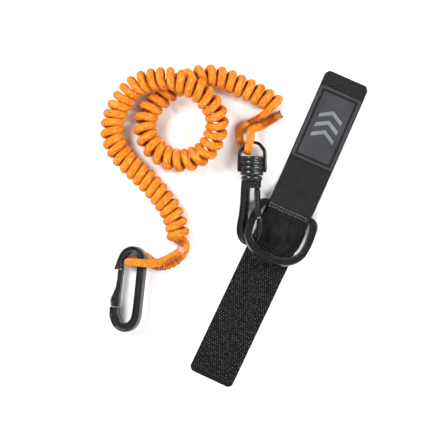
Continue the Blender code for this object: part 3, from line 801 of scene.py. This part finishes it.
def build_hook(look):
    points = [(-5.0, 26.5), (-5.6, 18.0), (-5.9, 8.0), (-6.9, -1.0), (-8.3, -9.0), (-7.9, -15.0),
              (-4.6, -19.6), (0.4, -20.8), (5.2, -18.6), (8.1, -13.2), (8.8, -7.0), (8.6, -2.2)]
    widths = [5.2, 5.2, 5.2, 5.4, 5.6, 5.8, 5.8, 5.6, 5.2, 4.8, 4.6, 4.2]
    thick = [6.6, 6.6, 6.6, 6.27, 5.68, 5.28, 5.15, 5.28]
    path = smooth_path([(x, y, 0.0) for x, y in points], 9)

    def section(t):
        return railed_section(between(widths, t) / 2 - 0.1, between(thick, t) / 2 - 0.08, 1.3, 1.2, 1.4)

    hook = add_mesh("snap_hook_body", skin(flat_sweep(path, section)), look, HOOK)
    shoulder = [(y, rounded_section(w, 3.3, p, 48)) for y, w, p in
                ((20.9, 6.9, 3.4), (21.6, 7.5, 4.0), (24.4, 7.7, 4.0), (27.0, 7.7, 4.0))]
    rings = [np.stack([s[:, 0], np.full(len(s), y), s[:, 1]], axis=1) for y, s in shoulder]
    hook = combine(hook, skin(rings), HOOK, "UNION")
    stem = [(7.0, 26.7), (7.9, 27.0), (8.3, 27.6), (8.35, 28.6), (8.3, 29.6), (7.9, 30.2), (7.3, 30.4),
            (3.6, 30.4), (3.6, 41.4), (5.4, 42.2), (5.4, 44.2), (4.9, 44.9), (4.2, 45.2)]
    hook = combine(hook, skin(turned(stem, 64)), HOOK, "UNION")
    hook = combine(hook, block((1.6, 19.0, -2.3), (9.5, 26.3, 2.3)), HOOK, "DIFFERENCE")
    pivot = (4.9, 23.4)
    hook = with_bore(hook, pivot, HOOK)
    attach(hook, "leash")
    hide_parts("hook_body")
    gate = [(4.9, 23.4, 0), (4.9, 20.8, 0), (5.3, 18.0, 0.2), (5.8, 12.0, 0.5), (6.4, 6.6, 0.9),
            (7.2, 2.4, 1.1), (8.1, -1.2, 1.1)]
    build_gate("snap_hook_gate", "hook_gate", "hook_gate", HOOK, pivot, gate,
               [3.4, 3.4, 3.9, 4.1, 4.1, 4.2, 4.2], [1.8, 1.8, 3.6, 3.4, 3.0, 2.8, 2.8], 2.3, look)


def build_swivel_eye(look):
    """Ribbed barrel and bail in one moulding."""
    radius, rib = 9.0, 0.75
    profile = [(8.0, 30.7), (8.6, 30.8), (8.95, 31.2), (radius, 31.9)]
    for y in (34.6, 38.4, 42.2):
        profile += [(radius, y - 0.9), (radius - 0.12, y - 0.62), (radius - rib, y - 0.35),
                    (radius - rib, y + 0.35), (radius - 0.12, y + 0.62), (radius, y + 0.9)]
    profile += [(radius, 44.4), (8.9, 45.1), (8.5, 45.5), (7.9, 45.6)]
    eye = add_mesh("swivel_barrel", skin(turned(profile, 72)), look, SWIVEL)
    half, top = 9.75, 56.3
    side = [(half - 0.6, 33.6), (half, 36.0), (half, 42.0), (half, 46.5), (half - 0.5, 50.0),
            (half - 2.6, 53.2), (half - 5.4, top - 0.7)]
    outline = side + [(0.0, top)] + [(-x, y) for x, y in side[::-1]]
    path = smooth_path([(x, y, 0.0) for x, y in outline], 8)
    bail = skin(flat_sweep(path, lambda t: rounded_section(1.3 + 0.6 * abs(2 * t - 1) ** 2, 1.95, 3.2, 28)))
    eye = combine(eye, bail, SWIVEL, "UNION")
    bore = turned([(3.9, 29.7), (3.9, 40.9), (5.7, 41.7), (5.7, 46.6)], 48)
    eye = combine(eye, skin(bore), SWIVEL, "DIFFERENCE")
    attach(eye, "swivel")
    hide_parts("swivel_eye")


def build_clip(look):
    points = [(-9.9, 19.4), (-9.4, 24.0), (-6.6, 28.8), (-1.6, 31.2), (3.4, 30.2), (6.6, 26.0),
              (7.2, 19.0), (7.4, 8.0), (7.6, -6.0), (7.4, -20.0), (4.8, -26.6), (-0.6, -29.4),
              (-6.6, -27.4), (-10.2, -21.8), (-10.95, -18.0), (-11.0, -14.95)]
    widths = [5.0, 4.8, 5.0, 5.4, 5.8, 6.0, 5.8, 5.8, 5.8, 6.0, 6.6, 7.2, 7.2, 6.8, 6.4, 6.4]
    path = smooth_path([(x, y, 0.0) for x, y in points], 8)

    def section(t):
        return railed_section(between(widths, t) / 2, 3.6, 1.1, 1.5)

    clip = add_mesh("snap_clip_body", skin(flat_sweep(path, section)), look, CLIP)
    clip = combine(clip, block((-13.5, 16.0, -2.2), (-6.6, 23.6, 2.2)), CLIP, "DIFFERENCE")
    for low, high in ((-3.4, -1.2), (1.2, 3.4)):
        barb = [[(-10.6, 22.6, z), (-12.4, 22.2, z), (-14.3, 14.6, z), (-13.4, 14.3, z), (-12.2, 17.6, z),
                 (-12.0, 19.6, z)] for z in (low, high)]
        clip = combine(clip, skin(barb), CLIP, "UNION")
    pivot = (-9.9, 20.6)
    clip = with_bore(clip, pivot, CLIP)
    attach(clip, "clip")
    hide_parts("clip_body")
    gate = [(-9.9, 20.6, 0), (-9.8, 17.8, 0), (-9.7, 14.6, 0), (-9.7, 8.0, 0), (-9.9, 1.0, 0),
            (-10.7, -4.6, 0), (-11.4, -9.4, 0), (-11.0, -14.5, 0)]
    build_gate("snap_clip_gate", "clip_gate", "clip_gate", CLIP, pivot, gate,
               [3.6, 3.6, 3.4, 3.4, 3.6, 5.2, 7.0, 5.6], [1.8, 1.8, 4.4, 4.4, 4.4, 4.4, 4.4, 4.4], 2.4, look)


def build_ring(look):
    """D ring: a round bar under the strap, and a bow with raised rims on both faces."""
    right = [(0.0, 0.0), (10.0, 0.0), (17.8, -0.3), (22.2, -4.4), (23.4, -12.4), (23.6, -22.8),
             (21.6, -32.2), (15.0, -39.4), (6.0, -42.5)]
    outline = [(x, y, 0.0) for x, y in right + [(-x, y) for x, y in right[:0:-1]]]
    path = smooth_path(outline, 12, closed=True)
    bow = railed_section(2.98, 1.85, 0.8, 0.9, corner=1.5)
    angles = np.arctan2(bow[:, 1] / 2.0, bow[:, 0] / 3.3)
    bar = 2.0 * np.stack([np.cos(angles), np.sin(angles)], axis=1)

    def section(t):
        along = abs(((t + 0.5) % 1.0) - 0.5) * 2
        return bar + (bow - bar) * eased((along - 0.20) / 0.14)

    ring = add_mesh("d_ring", skin(flat_sweep(path, section, closed=True), closed=True), look, RING)
    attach(ring, "ring")
    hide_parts("ring")


# ---------------------------------------------------------------- strap

STRAP_HALF = 18.0
UPPER_FLAP_LENGTH, LOWER_FLAP_LENGTH = 91.0, 93.0
HOOK_TAPE_START = 32.3          # below the bar


def strap_line(parts, step=0.8):
    """Points and across directions of a tape's lower face, from (frame, [(y, z, x), ...]) parts."""
    points, across = [], []
    for matrix, outline in parts:
        for y, z, x in outline:
            points.append(matrix @ Vector((x, y, z)))
            across.append(matrix.to_3x3() @ Vector((1, 0, 0)))
    line = np.hstack([np.array(points), np.array(across)])
    along = lengths(line[:, :3])
    at = np.linspace(0, along[-1], int(along[-1] / step) + 1)
    return np.stack([np.interp(at, along, line[:, k]) for k in range(6)], axis=1)


def strip(line, half_width, height, crown=lambda x, s: 1.0, columns=44, fuzz=0.0, seed=1):
    """Skin of a tape on a line: half_width(s), height(s) and crown(share across, s) shape it."""
    rng = np.random.default_rng(seed)
    spots, across = line[:, :3], line[:, 3:]
    across = across / np.linalg.norm(across, axis=1)[:, None]
    tangent = np.gradient(spots, axis=0)
    tangent /= np.linalg.norm(tangent, axis=1)[:, None]
    up = np.cross(across, tangent)
    up *= np.sign(up[:, 2:3] + 1e-9)
    along = lengths(spots)
    even = np.linspace(-1, 1, columns)
    shares = 0.35 * np.sin(even * math.pi / 2) + 0.65 * even
    rings = []
    for p, a, u, s in zip(spots, across, up, along):
        w, h = half_width(s), height(s)
        ring = [p + a * x * w for x in (-0.995, -0.5, 0.0, 0.5, 0.995)]
        for x in shares[::-1]:
            edge = math.sqrt(max(0.0, 1 - max(0.0, abs(x) - 0.965) ** 2 / 0.035 ** 2))
            top = h * crown(x, s) * (0.35 + 0.65 * edge)
            ring.append(p + a * x * w + u * (top + fuzz * rng.normal() * (abs(x) < 0.95)))
        rings.append(ring)
    return skin(rings)


def end_taper(near, reach):
    """How much of the half width is left this near a strap's end, where its corners are cut."""
    return 1.0 if near >= reach else 1.0 - 0.15 * (1 - near / reach) ** 1.6


def build_loop_tape(look):
    """Upper half of the strap: loop tape from its free end down to the ring's bar."""
    flap = [(y, 0.0, 0.0) for y in np.linspace(UPPER_FLAP_LENGTH, 0.6, 60)]
    core = smooth_path([(20.8, 0.0, 0.4), (17.0, 0.02, 0.35), (13.0, 0.25, 0.3), (8.4, 3.2, 0.3),
                        (4.8, 6.0, 0.2), (2.0, 6.8, 0.2), (-1.3, 6.8, 0.1), (-3.7, 6.3, 0.1)], 6)
    line = strap_line([(UPPER_FLAP, flap), (STRAP, core)])
    total = lengths(line[:, :3])[-1]

    def half_width(s):
        drawn_in = 1.1 * eased((s - total + 12.0) / 9.0)
        return (STRAP_HALF - drawn_in) * end_taper(s, 4.0)

    def height(s):
        return 1.9 * min(1.0, 0.55 + (total - s) / 3.0)

    tape = add_mesh("loop_tape", strip(line, half_width, height, columns=60, fuzz=0.045, seed=3), look)
    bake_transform(tape)
    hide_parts("loop_tape_flap", "pocket_tape")


def build_pile(look):
    """Dark pile section: over the bar from under the loop tape, then down inside the ring."""
    top = smooth_path([(1.6, 6.4, 0.1), (-1.0, 6.4, 0.1), (-3.0, 6.05, 0.1), (-4.9, 4.8, 0.2),
                       (-6.3, 3.0, 0.4), (-8.2, 2.1, 0.5), (-11.0, 2.0, 0.7), (-14.0, 2.3, 0.8),
                       (-20.0, 2.6, 0.8), (-26.0, 2.3, 0.4), (-30.6, 1.8, -0.4), (-33.6, 1.1, -0.6)], 6)
    line = strap_line([(STRAP, top)], step=0.7)
    total = lengths(line[:, :3])[-1]

    def half_width(s):
        wide = clamped((s - 8.0) / 9.0) * clamped((total - s) / 10.0)
        drawn_in = max(0.0, 1.0 - (total - s) / 7.0)
        return 16.5 + 1.7 * eased(wide) - 3.0 * drawn_in * drawn_in

    def height(s):
        return min(1.9, 0.35 + 0.65 * max(0.0, s - 4.4)) * min(1.0, 0.4 + (total - s) / 3.0)

    def crown(x, s):
        wrinkle = 0.10 * math.sin(0.55 * s + 2.2 * x + 0.8 * math.sin(3.1 * x)) * min(1.0, s / 10)
        return 1.0 + wrinkle + 0.08 * math.sin(5.0 * x + 0.3 * s) - 0.1 * x * x

    pad = add_mesh("pile_tape", strip(line, half_width, height, crown, columns=50, fuzz=0.04, seed=8), look)
    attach(pad, "strap")
    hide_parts("pile_pad")


def build_webbing(look):
    """Webbing under the ring, which the three tapes are sewn to."""
    high, low = 7.0, -32.0
    middles = [(y, 0.0, 0.3 - 0.9 * (high - y) / (high - low)) for y in np.linspace(high, low, 40)]
    line = strap_line([(STRAP, middles)])
    total = lengths(line[:, :3])[-1]
    tape = add_mesh("strap_webbing", strip(line, lambda s: STRAP_HALF, lambda s: 1.6, columns=40), look)
    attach(tape, "strap")
    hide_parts("strap_underlay")


def hook_tape_place(s):
    """Frame, x and y of the tape's middle, s down the hook tape from its upper end."""
    near = LOWER_FOLD - HOOK_TAPE_START
    return (STRAP, -0.6 - 0.4 * s / near, -HOOK_TAPE_START - s) if s < near else (LOWER_FLAP, 0.0, near - s)


def build_hook_tape(base_look, look):
    """Lower half of the strap: a woven base with rows of tiny hooks."""
    total = LOWER_FOLD - HOOK_TAPE_START + LOWER_FLAP_LENGTH
    parts = {}
    for s in np.linspace(0.0, total, 100):
        matrix, x, y = hook_tape_place(s)
        parts.setdefault(matrix is STRAP, (matrix, []))[1].append((y, 0.0, x))
    line = strap_line(list(parts.values()))
    base_height = 0.95
    tape = add_mesh("hook_tape", strip(line, lambda s: STRAP_HALF * end_taper(total - s, 3.0),
                                       lambda s: base_height, columns=40), base_look)
    skins = []
    rng = random.Random(21)
    row_step, column_step = 1.9, 1.8
    rows = int((total - 3.4) / row_step)
    reach = STRAP_HALF - 1.2
    columns = int(2 * reach / column_step)
    shape = np.array([(0.0, -0.1), (0.02, 0.42), (0.12, 0.78), (0.36, 0.98), (0.60, 0.80), (0.66, 0.58)])
    radii = np.array([0.34, 0.31, 0.29, 0.27, 0.24, 0.15])
    for r in range(rows):
        s = 2.4 + r * row_step
        matrix, middle, y = hook_tape_place(s)
        way = 1 if r % 2 else -1
        limit = reach if s < total - 4 else reach - 1.6
        for c in range(columns + 1):
            x = -reach + c * column_step + (0.5 * column_step if r % 2 else 0.0) + rng.uniform(-0.08, 0.08)
            if abs(x) > limit:
                continue
            lean = rng.uniform(-0.18, 0.18)
            size = rng.uniform(0.9, 1.02)
            points = [(middle + x + lean * h, y + way * size * (d - 0.3) + rng.uniform(-0.02, 0.02),
                       base_height + h * size) for d, h in shape]
            world = np.array([matrix @ Vector(p) for p in points])
            skins.append(skin(tube_rings(world, radii, 5)))
    hooks = add_mesh("hook_rows", joined(skins), look, smooth_angle=60.0)
    for piece in (tape, hooks):
        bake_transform(piece)
    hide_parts("hook_tape_middle", "hook_tape_flap")


def stitch_row(pairs, radius, rise):
    """Separate short stitches, each a bowed bit of thread between two needle holes."""
    skins = []
    for a, b in pairs:
        a, b = np.array(a, float), np.array(b, float)
        ends = [a - (0, 0, rise), a + (b - a) * 0.12 + (0, 0, 0.4 * rise), (a + b) / 2 + (0, 0, rise),
                a + (b - a) * 0.88 + (0, 0, 0.4 * rise), b - (0, 0, rise)]
        skins.append(skin(tube_rings(smooth_path(ends, 3), radius, 7)))
    return joined(skins)


def build_strap_stitches(look):
    """Two rows that sew the loop tape's end to the pile over the ring's bar."""
    rng = random.Random(4)
    left, right, gap = -16.6, 15.4, 0.55
    pairs = []
    for y, z in ((-2.6, 8.15), (-0.6, 8.65)):
        x = left
        while x < right:
            length = rng.uniform(1.9, 2.4)
            wobble = rng.uniform(-0.15, 0.15)
            pairs.append(((x, y + wobble, z), (x + length, y + wobble + rng.uniform(-0.2, 0.2), z)))
            x += length + gap
    stitches = add_mesh("loop_tape_stitches", stitch_row(pairs, 0.22, 0.25), look, STRAP)
    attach(stitches, "strap")


def rounded_rectangle(half_x, low, high, inset, radius, z, steps=7, per_side=14):
    """Points of a rectangle with round corners, drawn in by inset."""
    r = max(0.35, radius - inset)
    x, y0, y1 = half_x - inset, low + inset, high - inset
    arcs = []
    corners = [(x - r, y1 - r), (r - x, y1 - r), (r - x, y0 + r), (x - r, y0 + r)]
    for quarter, (cx, cy) in enumerate(corners):
        angles = np.radians(90 * (quarter + np.arange(steps + 1) / steps))
        arcs.append([(cx + r * math.cos(a), cy + r * math.sin(a), z) for a in angles])
    points = []
    for arc, following in zip(arcs, arcs[1:] + arcs[:1]):
        points += [*arc, *np.linspace(arc[-1], following[0], per_side + 1)[1:-1]]
    return np.array(points)


def build_patch(border_look, panel_look, groove_look, emblem_look, thread):
    """Moulded patch with a raised border, a stitched groove and a flush panel."""
    half, low, high, base = 17.0, 18.9, 78.7, 1.85
    steps = [(0.25, base), (0.0, base + 0.35), (0.0, 3.35), (0.12, 3.62), (0.38, 3.78), (0.8, 3.85),
             (1.9, 3.85), (2.05, 3.80), (2.18, 3.62), (2.25, 3.30), (2.40, 3.2), (3.6, 3.2), (3.75, 3.3),
             (3.83, 3.52), (4.0, 3.64), (4.3, 3.68), (6.0, 3.7), (10.0, 3.7), (15.0, 3.7)]
    rings = [rounded_rectangle(half, low, high, inset, 2.0, z) for inset, z in steps]
    patch = add_mesh("strap_patch", skin(rings), border_look, UPPER_FLAP, smooth_angle=50.0)
    patch.data.materials.append(panel_look)
    patch.data.materials.append(groove_look)
    # slot 2, the groove, gets near black rubber: painted shade in the recessed channel
    sides = len(rings[0])
    for polygon in patch.data.polygons:
        ring = min(polygon.vertices) // sides
        polygon.material_index = 2 if 8 <= ring <= 12 else (1 if ring > 12 else 0)
    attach(patch, "upper_flap")
    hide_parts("patch")

    # stitches lie in the groove, all the way round
    track = rounded_rectangle(half, low, high, 2.95, 2.0, 3.3, 5, 30)
    track = even_path(np.vstack([track, track[:1]]), 0.25)
    long, gap = 9, 4
    pairs = [(track[i], track[i + long]) for i in range(0, len(track) - long, long + gap)]
    stitches = add_mesh("patch_stitches", stitch_row(pairs, 0.26, 0.14), thread, UPPER_FLAP)
    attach(stitches, "upper_flap")

    middle = (low + high) / 2
    arm, rise, stroke = 9.5, 5.5, 3.4
    for number, offset in enumerate((-8.0, 0.0, 8.0), start=1):
        y = middle + offset - rise / 2
        corners = [(-arm, y, 0.5), (0.0, y + rise, 0.9), (arm, y, 0.5), (arm, y + stroke, 0.5),
                   (0.0, y + rise + stroke, 0.9), (-arm, y + stroke, 0.5)]
        outline = filleted(corners, 5)
        inner = filleted([(-arm + 0.3, y + 0.42, 0.4), (0.0, y + rise + 0.3, 0.8), (arm - 0.3, y + 0.42, 0.4),
                          (arm - 0.3, y + stroke - 0.15, 0.4), (0.0, y + rise + stroke - 0.38, 0.8),
                          (-arm + 0.3, y + stroke - 0.15, 0.4)], 5)
        layers = [(outline, 3.6), (outline, 4.0), (outline * 0.6 + inner * 0.4, 4.16), (inner, 4.22)]
        rings = [np.hstack([points, np.full((len(points), 1), z)]) for points, z in layers]
        chevron = add_mesh(f"chevron_{number}", skin(rings), emblem_look, UPPER_FLAP, smooth_angle=60.0)
        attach(chevron, "upper_flap")
        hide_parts(f"patch_chevron_{number}")


# ---------------------------------------------------------------- everything

def main():
    make_camera()
    make_studio()
    build_cord({"braid": braid_look(), "latex": latex_look(),
                "fray": thread_look("scorched_filament", (0.03, 0.03, 0.012), (0.20, 0.16, 0.05)),
                "lap_thread": thread_look("brown_thread", (0.13, 0.020, 0.004), (0.34, 0.070, 0.010))})
    plastic = plastic_look()
    build_hook(plastic)
    build_swivel_eye(plastic)
    build_clip(plastic)
    build_ring(plastic)
    build_webbing(woven_look("nylon_webbing", 1.1, (0.008, 0.008, 0.008), (0.03, 0.03, 0.03)))
    build_loop_tape(loop_look())
    build_pile(velvet_look())
    build_hook_tape(woven_look("hook_ground", 0.9, (0.002, 0.002, 0.002), (0.009, 0.009, 0.009)), hook_look())
    build_strap_stitches(thread_look("grey_thread", (0.06, 0.06, 0.06), (0.24, 0.24, 0.235)))
    build_patch(rubber_look("patch_border", (0.020, 0.021, 0.024), (0.036, 0.037, 0.042), 0.5),
                rubber_look("patch_panel", (0.021, 0.022, 0.028), (0.033, 0.035, 0.043), 0.6),
                # the groove's rubber is painted near black, as shade in the recess
                rubber_look("patch_groove", (0.003, 0.003, 0.004), (0.006, 0.006, 0.007), 0.7),
                rubber_look("emblem_rubber", (0.115, 0.120, 0.130), (0.165, 0.172, 0.180), 0.5),
                thread_look("patch_thread", (0.006, 0.006, 0.007), (0.02, 0.02, 0.022)))
    pin_steel = steel_look("blackened_steel", (0.022, 0.022, 0.023), (0.05, 0.05, 0.052))
    spring_steel = steel_look("spring_steel", (0.30, 0.30, 0.29), (0.50, 0.50, 0.49))
    for name, steel in (("hook_gate_pin", pin_steel), ("hook_gate_spring", spring_steel),
                        ("clip_gate_pin", pin_steel), ("clip_gate_spring", spring_steel)):
        node = frame["nodes"][name]
        node.data.materials.clear()
        node.data.materials.append(steel)


main()
